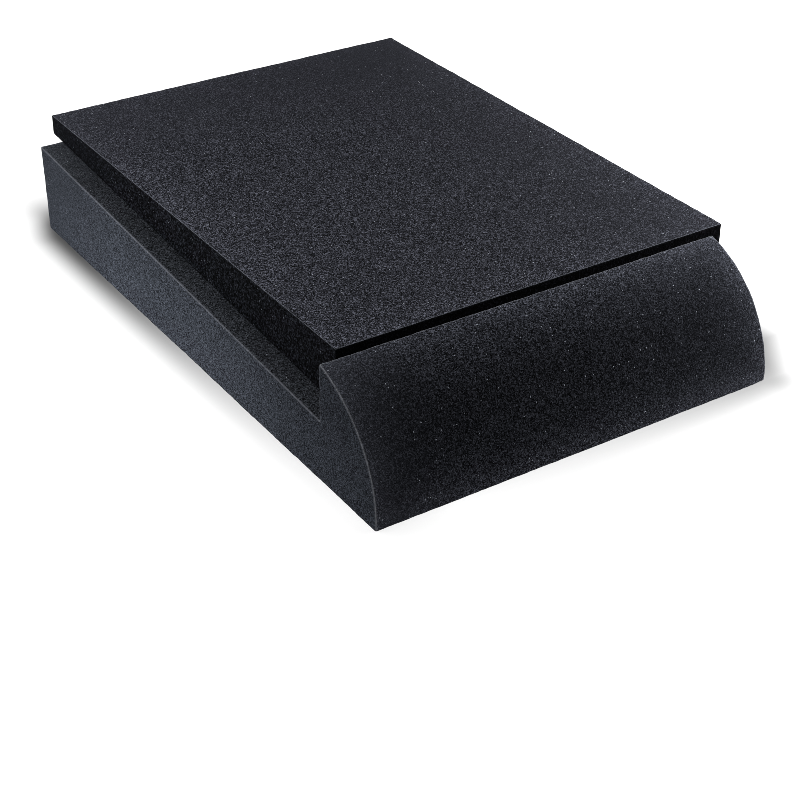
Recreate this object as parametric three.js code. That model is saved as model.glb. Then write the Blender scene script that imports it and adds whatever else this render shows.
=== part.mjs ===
// Speaker isolation pad: two cut blocks of charcoal acoustic foam, in millimetres with +Z up.
// The base stands on the desk. Its lip is at the front, towards -Y, and its seat rises to the back.
// A loose wedge lies thick end forward on the seat, so its top is level and carries the loudspeaker.
// The origin is the centre of the base's underside.
import * as THREE from 'three';

// Base block
const baseWidth = 200;
const baseLength = 300;
const seatFrontHeight = 28;
const seatBackHeight = 43.5;

// Rounded lip along the front of the base
const lipDepth = 40;
const lipHeight = 54;
const lipRadius = 52.5;

// Where the loose wedge lies
const lipGap = 6;
const backOverhang = 10;
const sideOffset = 11;
const restGap = 0.3;

// Facets on the lip's curve
const lipSegments = 32;

// Places along Y and heights that both pieces share
const frontY = -baseLength / 2;
const backY = baseLength / 2;
const lipBackY = frontY + lipDepth;
const seatSlope = (seatBackHeight - seatFrontHeight) / (backY - lipBackY);

function seatHeight(y) {
  return seatFrontHeight + seatSlope * (y - lipBackY);
}

function foam(color) {
  return new THREE.MeshStandardMaterial({ color, roughness: 0.95, metalness: 0 });
}

// A side section drawn as (Y, Z) becomes a block of the given width, centred on centreX.
function block(name, section, width, centreX, material) {
  const geometry = new THREE.ExtrudeGeometry(section, {
    depth: width,
    bevelEnabled: false,
    curveSegments: lipSegments,
  });
  geometry.translate(0, 0, -width / 2);
  const mesh = new THREE.Mesh(geometry, material);
  mesh.name = name;
  mesh.rotation.set(Math.PI / 2, Math.PI / 2, 0);
  mesh.position.x = centreX;
  return mesh;
}

// The lip's front is upright at the desk and curves back to a ridge at its full height and depth.
function baseSection() {
  const curveCentreY = frontY + lipRadius;
  const ridgeRun = lipRadius - lipDepth;
  const ridgeRise = Math.sqrt(lipRadius ** 2 - ridgeRun ** 2);
  const curveCentreZ = lipHeight - ridgeRise;
  const ridgeAngle = Math.atan2(ridgeRise, -ridgeRun);
  const section = new THREE.Shape();
  section.moveTo(backY, 0);
  section.lineTo(backY, seatBackHeight);
  section.lineTo(lipBackY, seatFrontHeight);
  section.lineTo(lipBackY, lipHeight);
  section.absarc(curveCentreY, curveCentreZ, lipRadius, ridgeAngle, Math.PI, false);
  section.lineTo(frontY, 0);
  section.closePath();
  return section;
}

// The wedge takes up the seat's slope, and its top is flush with the lip's ridge.
function wedgeSection() {
  const wedgeFrontY = lipBackY + lipGap;
  const wedgeBackY = backY + backOverhang;
  const section = new THREE.Shape();
  section.moveTo(wedgeFrontY, seatHeight(wedgeFrontY) + restGap);
  section.lineTo(wedgeBackY, seatHeight(wedgeBackY) + restGap);
  section.lineTo(wedgeBackY, lipHeight);
  section.lineTo(wedgeFrontY, lipHeight);
  section.closePath();
  return section;
}

const isolationPad = new THREE.Group();
isolationPad.add(block('base', baseSection(), baseWidth, 0, foam(0x2b2c30)));
isolationPad.add(block('top_wedge', wedgeSection(), baseWidth, sideOffset, foam(0x303237)));

export default isolationPad;
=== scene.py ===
"""Dresses the speaker isolation pad in charcoal open-cell foam and sets the photograph's view."""

import math

import bpy
import numpy as np
from mathutils import Matrix, Vector, noise
from mathutils.geometry import delaunay_2d_cdt


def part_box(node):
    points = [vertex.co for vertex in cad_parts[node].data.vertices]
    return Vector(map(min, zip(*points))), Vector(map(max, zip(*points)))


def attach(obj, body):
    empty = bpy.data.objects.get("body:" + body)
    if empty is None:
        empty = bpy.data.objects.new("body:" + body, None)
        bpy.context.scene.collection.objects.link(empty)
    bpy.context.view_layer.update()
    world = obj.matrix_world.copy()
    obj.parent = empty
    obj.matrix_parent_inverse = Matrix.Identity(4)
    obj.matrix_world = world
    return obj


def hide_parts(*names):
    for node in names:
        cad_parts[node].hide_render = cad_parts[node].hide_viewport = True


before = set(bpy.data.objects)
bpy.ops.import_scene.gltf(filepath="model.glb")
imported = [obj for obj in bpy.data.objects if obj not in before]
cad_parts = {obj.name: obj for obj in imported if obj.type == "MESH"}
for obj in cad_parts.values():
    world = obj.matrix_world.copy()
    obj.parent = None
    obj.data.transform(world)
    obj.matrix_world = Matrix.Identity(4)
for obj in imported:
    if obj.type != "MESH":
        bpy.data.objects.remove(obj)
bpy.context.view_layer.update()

MM = 0.001

# Foam surface: sizes of the mesh and of what shapes it
EDGE_STEP = 0.8 * MM
RING_DEPTHS = (0.3 * MM, 0.7 * MM, 1.3 * MM)
NEAR_BAND = (1.9 * MM, 4.5 * MM)
NEAR_STEP = 1.4 * MM
WIDE_STEP = 2.3 * MM
GRID_JITTER = 0.25
RING_TOLERANCE = 0.97
MERGE_STEP = 0.001 * MM
KEEP_INSIDE = 1
TRIANGLE_TOLERANCE = 1e-9
CORNER_TURN = math.radians(20)
EDGE_RADIUS = 0.4 * MM
BACK_LEAN = (-0.9 * MM, 0.8 * MM)
BACK_LEAN_FROM = 0.07
LIP_END_FROM = 0.05
LIP_END_BACK = (-0.11, -0.06)
LIP_END_HEIGHTS = (0, 25 * MM, 50 * MM)
LIP_END_LEAN = (1.8 * MM, 0.2 * MM, -0.3 * MM)
BLUNT_REACH = 2.0 * MM
BLUNT_DEPTH = 0.3 * MM
FUZZ = 0.1 * MM
SWELL_SIZE = 55 * MM
SWELL_HEIGHT = 0.12 * MM
DIMPLE_SIZE = 6 * MM
DIMPLE_HEIGHT = 0.05 * MM
FRAY_SIZES = (1.9 * MM, 4.2 * MM)
FRAY_HEIGHT = 0.11 * MM
FRAY_REACH = 2.2 * MM
DIMPLE_OFFSET = 3
FRAY_OFFSET = 7

# How a face is told by its direction and place
LIP_CLEARANCE = 5 * MM
SEAT_FACING = 0.9
LIP_FACING = 0.01
FACING = 0.5

# Camera of the photograph
PHOTO_SIDE_PX = 800
FOCAL_PX = 1719.41
SENSOR_MM = 36
CAMERA_AT = (-386.855 * MM, -587.171 * MM, 396.246 * MM)
CAMERA_YAW = 0.596832
CAMERA_PITCH = 0.571778
CAMERA_ROLL = -0.016259
CLIP_NEAR = 0.02
CLIP_FAR = 20

# A narrow pixel filter keeps the foam's grain
PIXEL_FILTER_WIDTH = 0.8

# Foam material: names that end in MM are in millimetres, places along the axes in metres
COARSE_TONE_SHARE = 0.7
FINE_TONE_SHARE = 0.3
FINE_CELL_SHARE = 0.7
CLOUD_SCALE = 0.06
CLOUD_TONES = (0.93, 1.07)
NOISE_MIDDLE = (0.3, 0.7)
# Painted highlight along the edges: how its unevenness is scaled and toned
HIGHLIGHT_NOISE_SCALE = 0.5
HIGHLIGHT_TONES = (0.55, 1.0)
SPECK_SPACING_MM = 1.5
SPECK_RADII = (0.12, 0.2)
PIT_RADIUS = 0.8
PIT_DEPTH = 0.16 * MM
BUMP_STRENGTH = 0.8
FOAM_SPECULAR = 0.02

# The grain calms down towards the back, the right and, on the lip, the left
CALM_BACK = (0.06, 0.15, 0, 0.45)
CALM_RIGHT = (0.0, 0.1, 0, 0.35)
CALM_LEFT = (-0.05, -0.1, 0, 0.5)
CALM_TONE = 0.85

# Soft shadow painted on the floor close to the pad
SHADOW_REACH_LEFT = 11.5 * MM
SHADOW_REACH_RIGHT = 17 * MM
SHADOW_REACH_FRONT = 13.5 * MM
SHADOW_REACH_BACK = 26 * MM
SHADOW_CORNER_SHIFT = 7 * MM
SHADOW_CORNER_BAND = 15 * MM
SHADOW_LEFT = (-0.15, 0.13, 0.1, 0.92)
SHADOW_LEFT_ACROSS = (-0.09, -0.05)
SHADOW_FRONT = 0.52
SHADOW_FRONT_ACROSS = (-0.075, 0.095)
SHADOW_FRONT_POWER = 1.2
SHADOW_RIGHT_ACROSS = (0.095, 0.115)
SHADOW_RIGHT_GAIN = 1.4
SHADOW_BEHIND = 0.7
SHADOW_BEHIND_FROM = 0.1
SHADOW_WIDEN = (26 * MM, 21 * MM)
SHADOW_NARROW = (22 * MM, 90 * MM, 9 * MM)
FLOOR_HALF_SIDE = 3.0
FLOOR_PAINT = (0.9, 0.9, 0.9, 1.0)
FLOOR_LIFT = 0.85
FLOOR_SEEN_SHARE = 0.4
FLOOR_FADE = (0.25, 0.6)


def outline_of(node):
    """The node's side section as seen from +X: an anticlockwise loop of (y, z) points, in metres."""
    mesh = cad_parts[node].data
    high_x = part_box(node)[1].x
    sides = set()
    for face in mesh.polygons:
        corners = [mesh.vertices[i].co for i in face.vertices]
        if min(c.x for c in corners) < high_x - 0.01 * MM:
            continue
        keys = [(round(c.y, 6), round(c.z, 6)) for c in corners]
        sides.update(zip(keys, keys[1:] + keys[:1]))
    border = {a: b for a, b in sides if (b, a) not in sides}
    start = min(border)
    loop = [start]
    while border[loop[-1]] != start:
        loop.append(border[loop[-1]])
    return np.array(loop)


def turn_at(loop, i):
    """How far the loop turns at its point i, in radians, positive at a convex corner."""
    before = loop[i] - loop[i - 1]
    after = loop[(i + 1) % len(loop)] - loop[i]
    cross = before[0] * after[1] - before[1] * after[0]
    return math.atan2(cross, before @ after)


def stretches_of(loop):
    """The smooth stretches of the loop between its corners."""
    corners = [i for i in range(len(loop)) if abs(turn_at(loop, i)) > CORNER_TURN]
    ends = corners[1:] + [corners[0] + len(loop)]
    return [np.array([loop[i % len(loop)] for i in range(a, b + 1)]) for a, b in zip(corners, ends)]


def lengths_along(line):
    """The distance along a line of points to each of them."""
    steps = np.linalg.norm(np.diff(line, axis=0), axis=1)
    return np.concatenate([[0.0], np.cumsum(steps)])


def even_steps(length):
    """Places along an edge, from 0 to its length, about EDGE_STEP apart."""
    return np.linspace(0.0, length, max(2, round(length / EDGE_STEP) + 1))


def distance_to(points, starts, ends):
    """The distance of each point to the nearest of the segments from starts to ends."""
    best = np.full(len(points), np.inf)
    for a, b in zip(np.array(starts), np.array(ends)):
        along = b - a
        share = np.clip((points - a) @ along / (along @ along), 0, 1)
        best = np.minimum(best, np.linalg.norm(points - a - share[:, None] * along, axis=1))
    return best


def inside(points, loop):
    """Whether each 2-D point lies inside the loop."""
    result = np.zeros(len(points), bool)
    for a, b in zip(loop, np.roll(loop, -1, axis=0)):
        crosses = (a[1] > points[:, 1]) != (b[1] > points[:, 1])
        rise = np.where(crosses, b[1] - a[1], 1.0)
        result ^= crosses & (points[:, 0] < a[0] + (points[:, 1] - a[1]) * (b[0] - a[0]) / rise)
    return result


def fill_points(border, outline, rng):
    """Points inside a face: rings that follow its border, then jittered grids that widen inwards."""
    following = np.roll(border, -1, axis=0) - np.roll(border, 1, axis=0)
    inward = np.stack([-following[:, 1], following[:, 0]], axis=1)
    inward /= np.linalg.norm(inward, axis=1)[:, None]
    starts, ends = outline, np.roll(outline, -1, axis=0)
    found = []
    for depth in RING_DEPTHS:
        ring = border + inward * depth
        found.append(ring[distance_to(ring, starts, ends) > RING_TOLERANCE * depth])
    low, high = border.min(axis=0), border.max(axis=0)
    for step, nearest, farthest in (
        (NEAR_STEP, *NEAR_BAND),
        (WIDE_STEP, NEAR_BAND[1], np.inf),
    ):
        across = np.arange(low[0], high[0], step)
        up = np.arange(low[1], high[1], step * math.sqrt(3) / 2)
        grid = np.array([(u + (j % 2) * step / 2, v) for j, v in enumerate(up) for u in across])
        grid += rng.uniform(-GRID_JITTER, GRID_JITTER, grid.shape) * step
        grid = grid[inside(grid, outline)]
        depth = distance_to(grid, starts, ends)
        found.append(grid[(depth >= nearest) & (depth < farthest)])
    return np.concatenate(found)


def fill(border, outline, rng):
    """Points over a face and the triangles between them."""
    within = fill_points(border, outline, rng)
    points = np.concatenate([border, within])
    flat = [Vector(p) for p in points]
    face = [list(range(len(border)))]
    made, _, triangles, sources, _, _ = delaunay_2d_cdt(flat, [], face, KEEP_INSIDE, TRIANGLE_TOLERANCE)
    points = np.array([points[s[0]] if s else tuple(p) for p, s in zip(made, sources)])
    return points, np.array(triangles)


def sharp_block(node, rng):
    """The node's own form as a fine closed mesh: its points and triangles."""
    loop = outline_of(node)
    low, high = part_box(node)
    places = even_steps(high.x - low.x)
    width = places[-1]
    all_points, all_triangles = [], []
    cap_border = []

    def add(points, triangles):
        all_triangles.append(triangles + sum(len(p) for p in all_points))
        all_points.append(points)

    for line in stretches_of(loop):
        along = lengths_along(line)
        length = along[-1]
        steps = even_steps(length)
        bend = np.stack([np.interp(steps, along, line[:, k]) for k in (0, 1)], axis=1)
        cap_border.append(bend[:-1])
        outline = np.array([(0, 0), (length, 0), (length, width), (0, width)])
        border = np.concatenate([
            [(s, 0) for s in steps[:-1]],
            [(length, x) for x in places[:-1]],
            [(s, width) for s in steps[:0:-1]],
            [(0, x) for x in places[:0:-1]],
        ])
        flat, triangles = fill(border, outline, rng)
        y, z = (np.interp(flat[:, 0], along, line[:, k]) for k in (0, 1))
        add(np.stack([low.x + flat[:, 1], y, z], axis=1), triangles)
    cap_border = np.concatenate(cap_border)
    for x, order in ((high.x, slice(None)), (low.x, slice(None, None, -1))):
        flat, triangles = fill(cap_border, loop, rng)
        add(np.column_stack([np.full(len(flat), x), flat]), triangles[:, order])
    return merged(np.concatenate(all_points), np.concatenate(all_triangles))


def merged(points, triangles):
    """The same mesh with the points that its faces share joined."""
    keys = np.round(points / MERGE_STEP).astype(np.int64)
    _, first, index = np.unique(keys, axis=0, return_index=True, return_inverse=True)
    return points[first], index.reshape(-1)[triangles]


def convex_edges(node):
    """The block's convex edges as pairs of 3-D points, each with whether it is clear of the underside."""
    loop = outline_of(node)
    low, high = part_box(node)
    ahead = np.roll(loop, -1, axis=0) - loop
    faces_down = ahead[:, 0] > np.abs(ahead[:, 1])
    edges = []
    for i, (y, z) in enumerate(loop):
        next_y, next_z = loop[(i + 1) % len(loop)]
        for x in (low.x, high.x):
            edges.append(((x, y, z), (x, next_y, next_z), not faces_down[i]))
        if turn_at(loop, i) > CORNER_TURN:
            clear = not (faces_down[i] or faces_down[i - 1])
            edges.append(((low.x, y, z), (high.x, y, z), clear))
    return edges


def inset_loop(loop, depth):
    """The loop moved inwards by depth."""
    before = loop - np.roll(loop, 1, axis=0)
    after = np.roll(loop, -1, axis=0) - loop
    before /= np.linalg.norm(before, axis=1)[:, None]
    after /= np.linalg.norm(after, axis=1)[:, None]
    in_before = np.stack([-before[:, 1], before[:, 0]], axis=1)
    in_after = np.stack([-after[:, 1], after[:, 0]], axis=1)
    middle = in_before + in_after
    return loop + middle * (depth * 2 / (middle**2).sum(axis=1))[:, None]


def nearest_on(points, loop):
    """The nearest point of the area inside the loop to each 2-D point."""
    best = np.full(len(points), np.inf)
    nearest = points.copy()
    for a, b in zip(loop, np.roll(loop, -1, axis=0)):
        along = b - a
        share = np.clip((points - a) @ along / (along @ along), 0, 1)
        place = a + share[:, None] * along
        shaded_gap = np.linalg.norm(points - place, axis=1)
        closer = shaded_gap < best
        best[closer] = shaded_gap[closer]
        nearest[closer] = place[closer]
    within = inside(points, loop)
    nearest[within] = points[within]
    return nearest


def soften(points, node):
    """Rounds every convex edge and corner by EDGE_RADIUS."""
    low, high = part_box(node)
    core_x = np.clip(points[:, 0], low.x + EDGE_RADIUS, high.x - EDGE_RADIUS)
    core = np.column_stack([core_x, nearest_on(points[:, 1:], inset_loop(outline_of(node), EDGE_RADIUS))])
    out = points - core
    length = np.linalg.norm(out, axis=1)[:, None]
    return core + out * np.minimum(1, EDGE_RADIUS / length)


def smooth_step(values, start, end):
    share = np.clip((values - start) / (end - start), 0, 1)
    return share * share * (3 - 2 * share)


def out_of_square(points):
    """The base as it is really cut: its back and its lip's right end lean a little, one corner is blunt."""
    points = points.copy()
    low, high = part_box("base")
    height = points[:, 2]
    back = smooth_step(points[:, 1], BACK_LEAN_FROM, high.y)
    points[:, 1] += back * np.interp(height, (0, high.z), BACK_LEAN)
    right = smooth_step(points[:, 0], LIP_END_FROM, high.x)
    front = 1 - smooth_step(points[:, 1], *LIP_END_BACK)
    points[:, 0] += right * front * np.interp(height, LIP_END_HEIGHTS, LIP_END_LEAN)
    corner = np.array([high.x, low.y, low.z])
    apart = np.linalg.norm(points - corner, axis=1)
    points += np.exp(-((apart / BLUNT_REACH) ** 2))[:, None] * np.array([-1, 1, 1]) * BLUNT_DEPTH
    return points


def field(points, size, offset):
    """Smooth noise of the given wavelength at each point."""
    shift = Vector((offset, -offset, 0.5 * offset))
    return np.array([noise.noise(Vector(p) / size + shift) for p in points])


def point_normals(points, triangles):
    corners = points[triangles]
    flat = np.cross(corners[:, 1] - corners[:, 0], corners[:, 2] - corners[:, 0])
    normals = np.zeros_like(points)
    for k in range(3):
        np.add.at(normals, triangles[:, k], flat)
    return normals / np.linalg.norm(normals, axis=1)[:, None]


def roughened(points, triangles, distances, seed):
    """The points moved along their normals: swollen, dimpled, and frayed close to the edges."""
    normals = point_normals(points, triangles)
    fray = np.clip(1 - distances / FRAY_REACH, 0, 1)
    lift = FUZZ + SWELL_HEIGHT * field(points, SWELL_SIZE, seed)
    lift += DIMPLE_HEIGHT * field(points, DIMPLE_SIZE, seed + DIMPLE_OFFSET)
    for k, size in enumerate(FRAY_SIZES):
        lift += FRAY_HEIGHT * fray * field(points, size, seed + FRAY_OFFSET + k)
    return points + normals * lift[:, None]


def foam_block(name, node, materials, pick, seed, shape=None):
    """A block of soft foam in the place of a CAD node. pick gives each face its material."""
    rng = np.random.default_rng(seed)
    points, triangles = sharp_block(node, rng)
    edges = convex_edges(node)
    distances = distance_to(points, *zip(*[(a, b) for a, b, _ in edges]))
    # Distances to the edges that get a painted highlight
    highlight_distances = distance_to(points, *zip(*[(a, b) for a, b, clear in edges if clear]))
    sharp_normals = np.cross(
        points[triangles[:, 1]] - points[triangles[:, 0]],
        points[triangles[:, 2]] - points[triangles[:, 0]],
    )
    centres = points[triangles].mean(axis=1)
    points = roughened(soften(points, node), triangles, distances, seed)
    if shape:
        points = shape(points)
    points[:, 2] = np.maximum(points[:, 2], 0)
    mesh = bpy.data.meshes.new(name)
    mesh.from_pydata(points.tolist(), [], triangles.tolist())
    mesh.polygons.foreach_set("use_smooth", np.ones(len(triangles), bool))
    for material in materials:
        mesh.materials.append(material)
    mesh.polygons.foreach_set("material_index", pick(sharp_normals, centres).astype(np.int32))
    for key, values in (("edge_mm", distances), ("rim_mm", highlight_distances)):
        attribute = mesh.attributes.new(key, "FLOAT", "POINT")
        attribute.data.foreach_set("value", (values / MM).astype(np.float32))
    mesh.update()
    piece = bpy.data.objects.new(name, mesh)
    bpy.context.scene.collection.objects.link(piece)
    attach(piece, "root")
    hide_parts(node)
    return piece


class Shader:
    """A material's node tree, with one call for each node."""

    def __init__(self, name):
        self.material = bpy.data.materials.new(name)
        self.material.use_nodes = True
        self.tree = self.material.node_tree
        self.tree.nodes.clear()

    def node(self, kind, settings=None, **inputs):
        made = self.tree.nodes.new("ShaderNode" + kind)
        for key, value in (settings or {}).items():
            setattr(made, key, value)
        for key, value in inputs.items():
            self.link(made.inputs[key.replace("_", " ")], value)
        return made

    def link(self, socket, value):
        if isinstance(value, bpy.types.NodeSocket):
            self.tree.links.new(value, socket)
        elif socket.type == "VECTOR":
            socket.default_value = value[:3]
        else:
            socket.default_value = value

    def math(self, operation, *values):
        made = self.tree.nodes.new("ShaderNodeMath")
        made.operation = operation
        for socket, value in zip(made.inputs, values):
            self.link(socket, value)
        return made.outputs[0]

    def ramp(self, value, low, high, to_low=0.0, to_high=1.0, smooth=True):
        made = self.tree.nodes.new("ShaderNodeMapRange")
        made.interpolation_type = "SMOOTHSTEP" if smooth else "LINEAR"
        keys = ("Value", "From Min", "From Max", "To Min", "To Max")
        for key, given in zip(keys, (value, low, high, to_low, to_high)):
            self.link(made.inputs[key], given)
        return made.outputs[0]

    def scaled(self, colour, factor):
        """The colour times a number."""
        made = self.tree.nodes.new("ShaderNodeVectorMath")
        made.operation = "SCALE"
        self.link(made.inputs[0], colour)
        self.link(made.inputs["Scale"], factor)
        return made.outputs[0]

    def mixed(self, factor, a, b):
        made = self.tree.nodes.new("ShaderNodeMix")
        made.data_type = "RGBA"
        self.link(made.inputs[0], factor)
        self.link(made.inputs[6], a)
        self.link(made.inputs[7], b)
        return made.outputs[2]


def linear(red, green, blue):
    """A colour given as 0 to 255, as a shader takes it."""
    parts = []
    for part in (red, green, blue):
        c = part / 255
        parts.append(c / 12.92 if c <= 0.04045 else ((c + 0.055) / 1.055) ** 2.4)
    return (*parts, 1.0)


def cell_tone(s, in_mm, size, spread, channel):
    """Each cell's random tone, 1 on average, and the distance to its centre. More spread, more dark cells."""
    cells = s.node("TexVoronoi", {"feature": "F1"}, Vector=in_mm, Scale=1 / size)
    chance = s.node("SeparateColor", Color=cells.outputs["Color"]).outputs[channel]
    return s.math("MULTIPLY", s.math("POWER", chance, spread), 1 + spread), cells.outputs["Distance"]


def calmed(s, tone, apart, calm_left):
    """The cells' tone, drawn towards CALM_TONE where the grain is calmer."""
    x, y = apart.outputs["X"], apart.outputs["Y"]
    calm = s.math("ADD", s.ramp(y, *CALM_BACK), s.ramp(x, *CALM_RIGHT))
    if calm_left:
        calm = s.math("MAXIMUM", calm, s.ramp(x, *CALM_LEFT))
    return s.math("ADD", tone, s.math("MULTIPLY", s.math("SUBTRACT", CALM_TONE, tone), calm))


def painted_edge_light(s, edge_light_gain, edge_light_mm):
    """Painted light near the edges: a tone that goes from 1 to the given gain towards the edges."""
    from_edge = s.node("Attribute", {"attribute_name": "edge_mm"}).outputs["Fac"]
    near_edge = s.math("EXPONENT", s.math("MULTIPLY", from_edge, -1 / edge_light_mm))
    return s.ramp(near_edge, 0, 1, 1, edge_light_gain, smooth=False)


def with_specks(s, body, in_mm, colour, share):
    """The foam's colour with sparse bright specks on it."""
    specks = s.node("TexVoronoi", {"feature": "F1"}, Vector=in_mm, Scale=1 / SPECK_SPACING_MM)
    chance = s.node("SeparateColor", Color=specks.outputs["Color"]).outputs[1]
    spot = s.ramp(specks.outputs["Distance"], *SPECK_RADII, 1.0, 0.0)
    mask = s.math("MULTIPLY", spot, s.ramp(chance, 1 - share, 1))
    return s.mixed(mask, body, linear(*colour))


def with_painted_highlight(s, body, in_mm, colour, width_mm):
    """The foam's colour with a painted highlight: an uneven pale line along the edges that are clear of the
    underside.
    """
    from_rim = s.node("Attribute", {"attribute_name": "rim_mm"}).outputs["Fac"]
    line = s.math("EXPONENT", s.math("MULTIPLY", s.math("POWER", from_rim, 2), -1 / width_mm**2))
    uneven = s.node("TexNoise", Vector=in_mm, Scale=HIGHLIGHT_NOISE_SCALE, Detail=2.0)
    tone = s.ramp(uneven.outputs[0], *NOISE_MIDDLE, *HIGHLIGHT_TONES, smooth=False)
    return s.mixed(s.math("MULTIPLY", line, tone), body, linear(*colour))


def foam_material(
    name, colour, spread, cell_mm, speck, speck_share, edge_light_gain, edge_light_mm, rim, rim_mm, painted_light_ramps=(), calm_left=False
):
    """Open-cell foam: cells that catch more or less light, bright specks, painted light that makes the edges
    paler, a painted highlight along the edges, and painted light and shade that ramp along the axes.
    """
    s = Shader(name)
    place = s.node("TexCoord").outputs["Object"]
    in_mm = s.node("Mapping", Vector=place, Scale=(1000, 1000, 1000)).outputs[0]
    apart = s.node("SeparateXYZ", Vector=place)
    coarse, to_centre = cell_tone(s, in_mm, cell_mm, spread, 0)
    fine, _ = cell_tone(s, in_mm, cell_mm * FINE_CELL_SHARE, spread, 1)
    coarse_part = s.math("MULTIPLY", coarse, COARSE_TONE_SHARE)
    fine_part = s.math("MULTIPLY", fine, FINE_TONE_SHARE)
    cells = calmed(s, s.math("ADD", coarse_part, fine_part), apart, calm_left)
    cloud = s.node("TexNoise", Vector=in_mm, Scale=CLOUD_SCALE, Detail=3.0, Roughness=0.55)
    cloud_tone = s.ramp(cloud.outputs[0], *NOISE_MIDDLE, *CLOUD_TONES, smooth=False)
    # The cell tone times painted light, which brightens the colour towards the edges
    tone = s.math("MULTIPLY", s.math("MULTIPLY", cells, cloud_tone), painted_edge_light(s, edge_light_gain, edge_light_mm))
    # Painted light and shade: the tone ramps up or down along the axes
    for axis, *ends in painted_light_ramps:
        tone = s.math("MULTIPLY", tone, s.ramp(apart.outputs[axis], *ends))
    body = with_specks(s, s.scaled(linear(*colour), tone), in_mm, speck, speck_share)
    body = with_painted_highlight(s, body, in_mm, rim, rim_mm)
    pits = s.ramp(to_centre, 0.0, PIT_RADIUS, smooth=False)
    bump = s.node("Bump", Strength=BUMP_STRENGTH, Distance=PIT_DEPTH, Height=pits)
    surface = s.node(
        "BsdfPrincipled",
        Base_Color=body,
        Roughness=1.0,
        Specular_IOR_Level=FOAM_SPECULAR,
        Normal=bump.outputs[0],
    )
    s.node("OutputMaterial", Surface=surface.outputs[0])
    return s.material


def past(s, value, edge, reach):
    """The squared share of its reach by which a place lies past one edge of the painted shadow."""
    outside = s.math("MAXIMUM", s.math("MULTIPLY", s.math("SUBTRACT", value, edge), 1 / reach), 0)
    return s.math("POWER", outside, 2)


def fading(s, strength, beyond):
    """The darkness of one side's painted shadow, which fades softly past its edges."""
    return s.math("MULTIPLY", strength, s.math("EXPONENT", s.math("MULTIPLY", beyond, -1)))


def left_painted_shadow(s, x, y, beyond_y):
    """The painted shadow along the left side and behind the back. Its left edge moves in at the back corner.
    """
    low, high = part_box("base")
    start, end = high.y - SHADOW_CORNER_BAND, high.y + SHADOW_CORNER_BAND
    left_edge = s.ramp(y, start, end, low.x, low.x + SHADOW_CORNER_SHIFT)
    behind = s.ramp(y, SHADOW_BEHIND_FROM, high.y, 0, SHADOW_BEHIND)
    strength = s.math("MULTIPLY", s.ramp(y, *SHADOW_LEFT), s.ramp(x, *SHADOW_LEFT_ACROSS, 1, behind))
    past_left = past(s, x, left_edge, -SHADOW_REACH_LEFT)
    beyond_x = s.math("ADD", past_left, past(s, x, high.x, SHADOW_REACH_RIGHT))
    return fading(s, strength, s.math("ADD", beyond_x, beyond_y))


def right_painted_shadow(s, x, y, beyond_y):
    """The painted shadow at the front and the right. Its right edge moves out from the front, then in again.
    """
    low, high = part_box("base")
    over, reach = SHADOW_WIDEN
    wider = s.ramp(y, low.y, low.y + over, high.x, high.x + reach, smooth=False)
    start, end, reach = SHADOW_NARROW
    narrower = s.ramp(y, low.y + start, low.y + end, 0, reach)
    right_edge = s.math("SUBTRACT", wider, narrower)
    across = s.math("POWER", s.ramp(x, *SHADOW_FRONT_ACROSS, smooth=False), SHADOW_FRONT_POWER)
    at_front = s.math("MULTIPLY", across, SHADOW_FRONT)
    strength = s.math("MULTIPLY", at_front, s.ramp(x, *SHADOW_RIGHT_ACROSS, 1, SHADOW_RIGHT_GAIN))
    beyond_x = past(s, x, right_edge, SHADOW_REACH_RIGHT)
    return fading(s, strength, s.math("ADD", beyond_x, beyond_y))


def floor_material():
    """A white floor that shows as white where it is lit, with a soft shadow painted on it by the pad."""
    s = Shader("floor_white")
    place = s.node("TexCoord").outputs["Object"]
    apart = s.node("SeparateXYZ", Vector=place)
    x, y = apart.outputs["X"], apart.outputs["Y"]
    low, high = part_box("base")
    beyond_y = s.math("ADD", past(s, y, high.y, SHADOW_REACH_BACK), past(s, y, low.y, -SHADOW_REACH_FRONT))
    # Painted shadow: the floor's colour and glow are darkened by place near the pad
    shadow = s.math("MAXIMUM", left_painted_shadow(s, x, y, beyond_y), right_painted_shadow(s, x, y, beyond_y))
    bright = s.math("SUBTRACT", 1.0, shadow)
    path = s.node("LightPath")
    seen = s.math("MAXIMUM", path.outputs["Is Camera Ray"], path.outputs["Is Glossy Ray"])
    seen = s.math("MAXIMUM", seen, path.outputs["Is Transmission Ray"])
    seen_loss = s.math("SUBTRACT", 1, s.math("MULTIPLY", bright, FLOOR_SEEN_SHARE))
    share = s.math("SUBTRACT", 1, s.math("MULTIPLY", seen, seen_loss))
    paint = s.node("BsdfDiffuse", Color=s.scaled(FLOOR_PAINT, share))
    away = s.node("VectorMath", {"operation": "LENGTH"}, Vector=place).outputs["Value"]
    lift = s.ramp(away, *FLOOR_FADE, FLOOR_LIFT, 1.0)
    strength = s.math("MULTIPLY", seen, s.math("MULTIPLY", bright, lift))
    shine = s.node("Emission", Color=(1, 1, 1, 1), Strength=strength)
    both = s.node("AddShader")
    s.link(both.inputs[0], paint.outputs[0])
    s.link(both.inputs[1], shine.outputs[0])
    s.node("OutputMaterial", Surface=both.outputs[0])
    return s.material


def make_floor():
    side = FLOOR_HALF_SIDE
    mesh = bpy.data.meshes.new("floor")
    corners = [(-side, -side, 0), (side, -side, 0), (side, side, 0), (-side, side, 0)]
    mesh.from_pydata(corners, [], [(0, 1, 2, 3)])
    mesh.materials.append(floor_material())
    floor = bpy.data.objects.new("floor", mesh)
    bpy.context.scene.collection.objects.link(floor)


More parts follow.
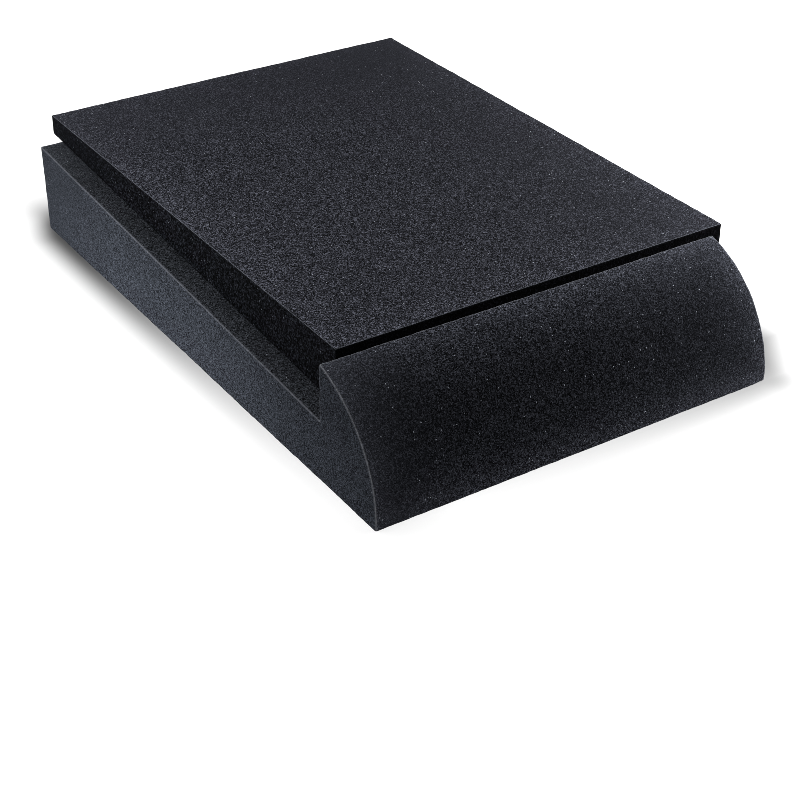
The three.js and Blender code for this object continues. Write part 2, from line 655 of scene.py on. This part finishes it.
def make_world():
    """White where the camera looks past the floor, and no light on the object."""
    world = bpy.data.worlds.new("white_surround")
    bpy.context.scene.world = world
    world.use_nodes = True
    tree = world.node_tree
    background = tree.nodes["Background"]
    background.inputs["Color"].default_value = (1, 1, 1, 1)
    path = tree.nodes.new("ShaderNodeLightPath")
    seen = path.outputs["Is Camera Ray"]
    for kind in ("Is Glossy Ray", "Is Transmission Ray"):
        either = tree.nodes.new("ShaderNodeMath")
        either.operation = "MAXIMUM"
        tree.links.new(seen, either.inputs[0])
        tree.links.new(path.outputs[kind], either.inputs[1])
        seen = either.outputs[0]
    tree.links.new(seen, background.inputs["Strength"])


def softbox(name, at, aim, size, power):
    light = bpy.data.lights.new(name, "AREA")
    light.shape = "RECTANGLE"
    light.size, light.size_y = size
    light.energy = power
    box = bpy.data.objects.new(name, light)
    box.location = at
    box.rotation_euler = (Vector(aim) - Vector(at)).to_track_quat("-Z", "Y").to_euler()
    box.visible_camera = False
    bpy.context.scene.collection.objects.link(box)
    return light


def make_lights():
    softbox("back_softbox", (0, 0.8, 0.85), (0, 0, 0.03), (1.2, 0.5), 7.2)
    softbox("left_low_card", (-0.27, 0.05, 0.045), (-0.1, 0.05, 0.01), (0.14, 0.06), 0.28)
    softbox("left_back_card", (-0.42, 0.2, 0.12), (-0.1, 0.12, 0.01), (0.25, 0.15), 0.33)
    sweep = softbox("left_floor_light", (-0.5, 0.03, 0.5), (-0.45, 0.03, 0), (0.4, 0.6), 1.3)
    sweep.spread = math.radians(90)
    softbox("right_front_card", (0.235, -0.2, 0.17), (0.1, -0.13, 0.05), (0.1, 0.1), 0.7)
    softbox("left_front_card", (-0.2, -0.3, 0.03), (-0.08, -0.15, 0.01), (0.08, 0.05), 0.05)
    softbox("right_strip", (0.26, 0, 0.13), (0.1, 0, 0.04), (0.4, 0.08), 0.637)


def make_camera():
    camera = bpy.data.cameras.new("photo_camera")
    camera.sensor_width = SENSOR_MM
    camera.lens = FOCAL_PX / PHOTO_SIDE_PX * SENSOR_MM
    camera.clip_start = CLIP_NEAR
    camera.clip_end = CLIP_FAR
    eye = bpy.data.objects.new("photo_camera", camera)
    bpy.context.scene.collection.objects.link(eye)
    eye.matrix_world = (
        Matrix.Translation(CAMERA_AT)
        @ Matrix.Rotation(-CAMERA_YAW, 4, "Z")
        @ Matrix.Rotation(math.pi / 2 - CAMERA_PITCH, 4, "X")
        @ Matrix.Rotation(-CAMERA_ROLL, 4, "Z")
    )
    bpy.context.scene.camera = eye


def base_faces(normals, centres):
    """The base's faces by material: 0 is sides, back and underside, 1 seat, 2 lip, 3 in the gap, where the
    colour is painted shade.
    """
    normals = normals / np.linalg.norm(normals, axis=1)[:, None]
    on_lip = centres[:, 1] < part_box("top_wedge")[0].y - LIP_CLEARANCE
    seat = (normals[:, 2] > SEAT_FACING) & ~on_lip
    front = on_lip & ((normals[:, 2] > LIP_FACING) | (normals[:, 1] < -FACING))
    shaded_gap = (normals[:, 1] > FACING) & on_lip
    return np.select([shaded_gap, front, seat], [3, 2, 1], 0)


def wedge_faces(normals, centres):
    """The wedge's faces by material: 0 for its sides, back and underside, 1 for the top, 2 in the gap. 0 and
    2 are painted shade.
    """
    normals = normals / np.linalg.norm(normals, axis=1)[:, None]
    return np.select([normals[:, 1] < -FACING, normals[:, 2] > FACING], [2, 1], 0)


def make_pad():
    # Lit and shaded copies of one foam, each toned for how light falls on its faces. Sides: lighter towards
    # the floor and darker towards the lip, as painted light and shade
    side = foam_material(
        "base_side_foam",
        colour=(45, 48, 54),
        spread=1.75,
        cell_mm=0.45,
        speck=(110, 114, 122),
        speck_share=0.07,
        edge_light_gain=1.0,
        edge_light_mm=8,
        rim=(86, 88, 94),
        rim_mm=0.45,
        painted_light_ramps=(("Z", 0, 0.04, 1.28, 0.92), ("Y", -0.05, -0.11, 1, 0.76)),
    )
    # Seat: lighter towards the back and near its edges, as painted light
    seat = foam_material(
        "base_seat_foam",
        colour=(41, 43, 47),
        spread=2.2,
        cell_mm=0.45,
        speck=(150, 155, 165),
        speck_share=0.1,
        edge_light_gain=1.35,
        edge_light_mm=7,
        rim=(84, 86, 92),
        rim_mm=0.4,
        painted_light_ramps=(("Y", 0.1, 0.15, 1, 1.5),),
    )
    # Lip: darker than the top as painted shade, lighter at its foot, by its ridge and much lighter near its
    # edges as painted light
    lip = foam_material(
        "base_lip_foam",
        colour=(28, 29, 33),
        spread=3.2,
        cell_mm=0.44,
        speck=(165, 170, 180),
        speck_share=0.15,
        edge_light_gain=3.0,
        edge_light_mm=10,
        rim=(128, 130, 136),
        rim_mm=0.38,
        painted_light_ramps=(("Z", 0, 0.02, 1.25, 1), ("Z", 0.036, 0.05, 1, 1.32)),
        calm_left=True,
    )
    # Top: lighter on the left, darker on the right and lighter near its edges, as painted light
    top = foam_material(
        "wedge_top_foam",
        colour=(47, 48, 54),
        spread=4.8,
        cell_mm=0.42,
        speck=(175, 180, 190),
        speck_share=0.17,
        edge_light_gain=1.35,
        edge_light_mm=9,
        rim=(98, 101, 108),
        rim_mm=0.3,
        painted_light_ramps=(("X", -0.09, 0.11, 1.16, 0.88),),
    )
    # The wedge's sides: painted shade, for the ledge's shade on them
    painted_shade_side = foam_material(
        "wedge_side_painted_shade_foam",
        colour=(12, 13, 16),
        spread=5.0,
        cell_mm=0.7,
        speck=(100, 104, 112),
        speck_share=0.2,
        edge_light_gain=1.0,
        edge_light_mm=8,
        rim=(20, 21, 24),
        rim_mm=0.4,
    )
    # Painted shade in the gap behind the lip
    shaded_gap = foam_material(
        "gap_painted_shade_foam",
        colour=(6, 6, 8),
        spread=5.0,
        cell_mm=0.7,
        speck=(70, 74, 82),
        speck_share=0.15,
        edge_light_gain=1.0,
        edge_light_mm=8,
        rim=(20, 21, 24),
        rim_mm=0.4,
    )
    foam_block("base_foam", "base", (side, seat, lip, shaded_gap), base_faces, 11, out_of_square)
    foam_block("wedge_foam", "top_wedge", (painted_shade_side, top, shaded_gap), wedge_faces, 29)


def main():
    bpy.context.scene.view_settings.view_transform = "Standard"
    bpy.context.scene.cycles.filter_width = PIXEL_FILTER_WIDTH
    bpy.context.scene.cycles.denoising_prefilter = "NONE"
    make_camera()
    make_world()
    make_floor()
    make_lights()
    make_pad()


main()
